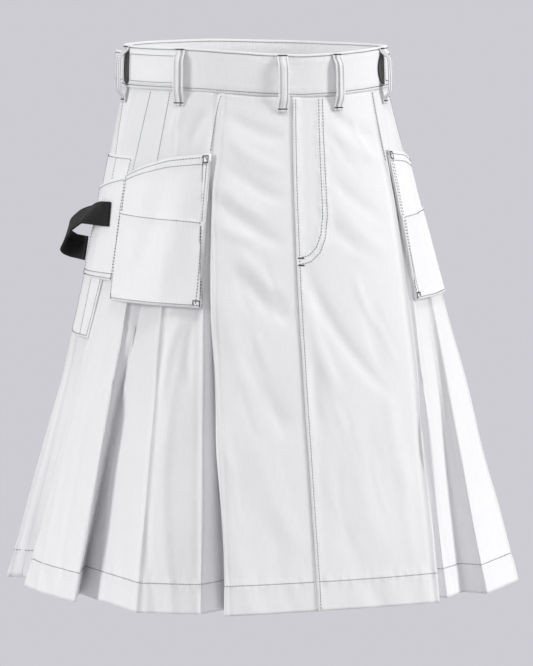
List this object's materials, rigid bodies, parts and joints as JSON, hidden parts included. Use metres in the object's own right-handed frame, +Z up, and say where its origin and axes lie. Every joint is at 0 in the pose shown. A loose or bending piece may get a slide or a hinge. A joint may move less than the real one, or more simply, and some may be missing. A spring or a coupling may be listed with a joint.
{
  "type": "utility kilt",
  "caption": "Knee-length work kilt in white twill with a flat apron, box-pleated sides, holster pockets, belt loops and a webbing tool loop, in its worn shape.",
  "frame": {"origin": "middle of the waist opening at the height of the waistband's top edge, where the wearer holds it up", "axes": "+Z up, -Y to the front, -X to the wearer's right"},
  "size_m": [0.5258, 0.4265, 0.6148],
  "materials": {
    "twill": "matt cotton and polyester twill, white",
    "webbing": "black woven webbing",
    "hook_tape": "dark brown-black woven tape"
  },
  "bodies": {
    "root": {"waistband": "twill", "front_right": "twill", "front_left": "twill", "side_right": "twill", "side_left": "twill", "back": "twill", "loop_right_side": "twill", "loop_right_front": "twill", "loop_fly": "twill", "loop_front_left": "twill", "loop_left_front": "twill", "loop_left_side": "twill", "loop_back": "twill", "adjuster_right": "twill", "tape_right": "hook_tape", "strap_end_right": "twill", "tape_left": "hook_tape", "adjuster_left": "twill", "holster_right": "twill", "patch_right": "twill", "bellows_right": "twill", "tool_pocket_right": "twill", "rule_pocket_right": "twill", "holster_left": "twill", "patch_left": "twill", "bellows_left": "twill", "tool_pocket_left": "twill", "rule_pocket_left": "twill", "hammer_loop": "webbing"}
  },
  "joints": []
}
